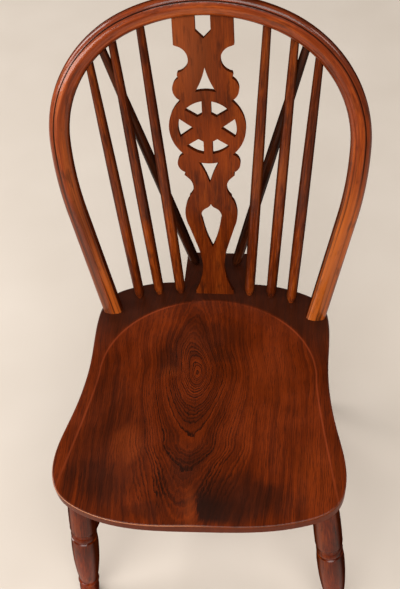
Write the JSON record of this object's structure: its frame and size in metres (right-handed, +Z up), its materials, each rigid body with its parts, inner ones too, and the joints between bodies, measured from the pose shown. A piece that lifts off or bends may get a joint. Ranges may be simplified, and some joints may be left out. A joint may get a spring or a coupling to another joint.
{
  "type": "wheelback chair",
  "caption": "Wooden wheelback dining chair with a saddled seat, a bent hoop, a pierced wheel splat, back sticks, bracing stays and turned legs joined by stretchers.",
  "frame": {"origin": "on the floor, at the bottom centre of the chair's bounding box", "axes": "+Z up; the front of the seat faces -Y and the back leans towards +Y; +X is to the right of someone who looks at the chair's front"},
  "size_m": [0.4728, 0.5345, 0.9209],
  "materials": {
    "seat_elm": "dark red-brown stained elm, wax polished",
    "hoop_ash": "red-brown stained and polished bent wood",
    "splat_beech": "red-brown stained and polished board",
    "stick_beech": "red-brown stained and polished turned sticks",
    "leg_beech": "red-brown stained and polished turned legs and stretchers"
  },
  "bodies": {
    "root": {"seat": "seat_elm", "hoop": "hoop_ash", "hoop_wedges": "hoop_ash", "splat": "splat_beech", "stick_left_outer": "stick_beech", "stick_left_middle": "stick_beech", "stick_left_inner": "stick_beech", "stick_right_outer": "stick_beech", "stick_right_middle": "stick_beech", "stick_right_inner": "stick_beech", "stay_left": "stick_beech", "stay_right": "stick_beech", "leg_front_left": "leg_beech", "leg_front_right": "leg_beech", "leg_back_left": "leg_beech", "leg_back_right": "leg_beech", "stretcher_left": "leg_beech", "stretcher_right": "leg_beech", "stretcher_cross": "leg_beech"}
  },
  "joints": []
}
